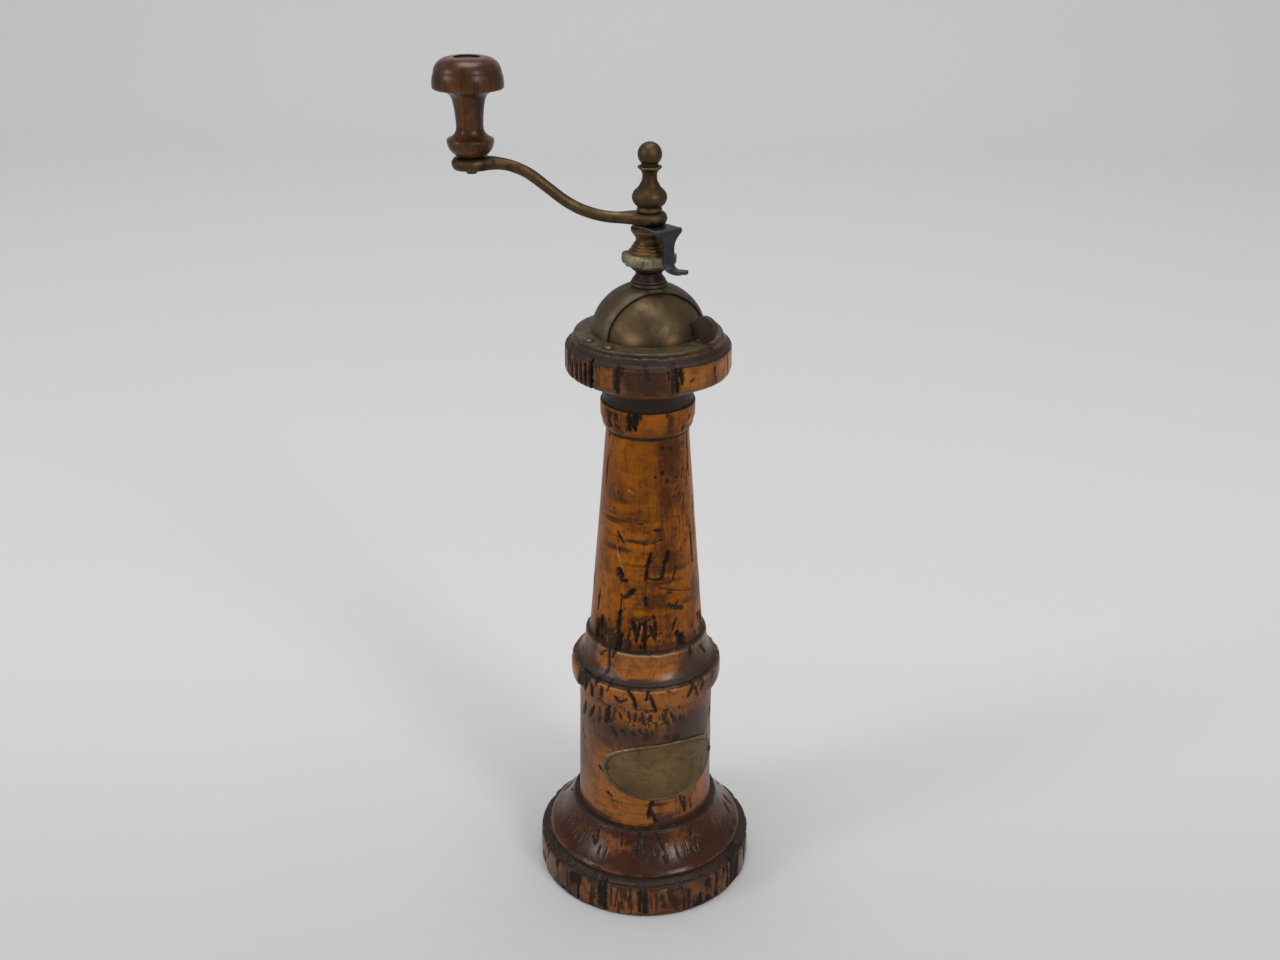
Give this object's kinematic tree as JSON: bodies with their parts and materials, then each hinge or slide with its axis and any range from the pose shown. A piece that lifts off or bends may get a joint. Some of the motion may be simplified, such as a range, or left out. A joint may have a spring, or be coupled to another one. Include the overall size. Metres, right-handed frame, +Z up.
{
  "type": "crank spice mill",
  "caption": "Tall turned wooden spice mill with a domed brass top, sliding door, name plate, and a crank arm with knob above a grind-setting star nut.",
  "frame": {"origin": "centre of the foot's underside, in the plane of the table", "axes": "+Z up along the spindle; -Y towards the viewer, with the name plate turned a little to -X of it; -X towards the crank's knob"},
  "size_m": [0.1336, 0.0996, 0.3735],
  "materials": {
    "body_wood": "waxed satin, worn and stained",
    "knob_wood": "polished, dark red-brown",
    "plate_brass": "dull, bare",
    "old_brass": "aged, satin",
    "dark_brass": "nearly black patina",
    "bronze": "brown patina, satin",
    "pale_metal": "worn, matte",
    "steel": "plain",
    "blued_steel": "blued, satin"
  },
  "bodies": {
    "mill": {"foot": "body_wood", "barrel": "body_wood", "column": "body_wood", "top_disc": "body_wood", "name_plate": "plate_brass", "plate_pins": "old_brass", "dome": "old_brass", "dome_screws": "plate_brass", "dome_neck": "bronze", "neck_nut": "old_brass", "ring_burr": "steel", "burr_screws": "steel", "shaft_guide": "steel", "burr_spring": "steel"},
    "crank": {"spindle": "steel", "thrust_washer": "old_brass", "cone_burr": "steel", "burr_nut": "steel", "crank_spool": "bronze", "latch_plate": "blued_steel", "crank_arm": "old_brass", "finial": "old_brass", "knob_pin": "steel"},
    "grip": {"knob": "knob_wood"},
    "nut": {"star_nut": "pale_metal"},
    "leaf": {"latch_leaf": "blued_steel"},
    "slider": {"door": "old_brass", "thumb_tab": "dark_brass"}
  },
  "joints": [
    {"name": "crank_turn", "type": "hinge", "parent": "mill", "child": "crank", "pos_m": [0, 0, 0], "axis": [0, 0, 1], "continuous": true},
    {"name": "knob_spin", "type": "hinge", "parent": "crank", "child": "grip", "pos_m": [-0.0698, 0, 0.35], "axis": [0, 0, 1], "continuous": true},
    {"name": "nut_turn", "type": "hinge", "parent": "crank", "child": "nut", "pos_m": [0, 0, 0.295], "axis": [0, 0, 1], "continuous": true},
    {"name": "latch_flex", "type": "hinge", "parent": "crank", "child": "leaf", "pos_m": [0.00733, -0.00905, 0.30892], "axis": [-0.7771, -0.6293, 0], "range_deg": [0, 8], "stiffness_Nm_per_rad": 0.3},
    {"name": "door_turn", "type": "hinge", "parent": "mill", "child": "slider", "pos_m": [0, 0, 0.27], "axis": [0, 0, -1], "range_deg": [0, 82]}
  ]
}
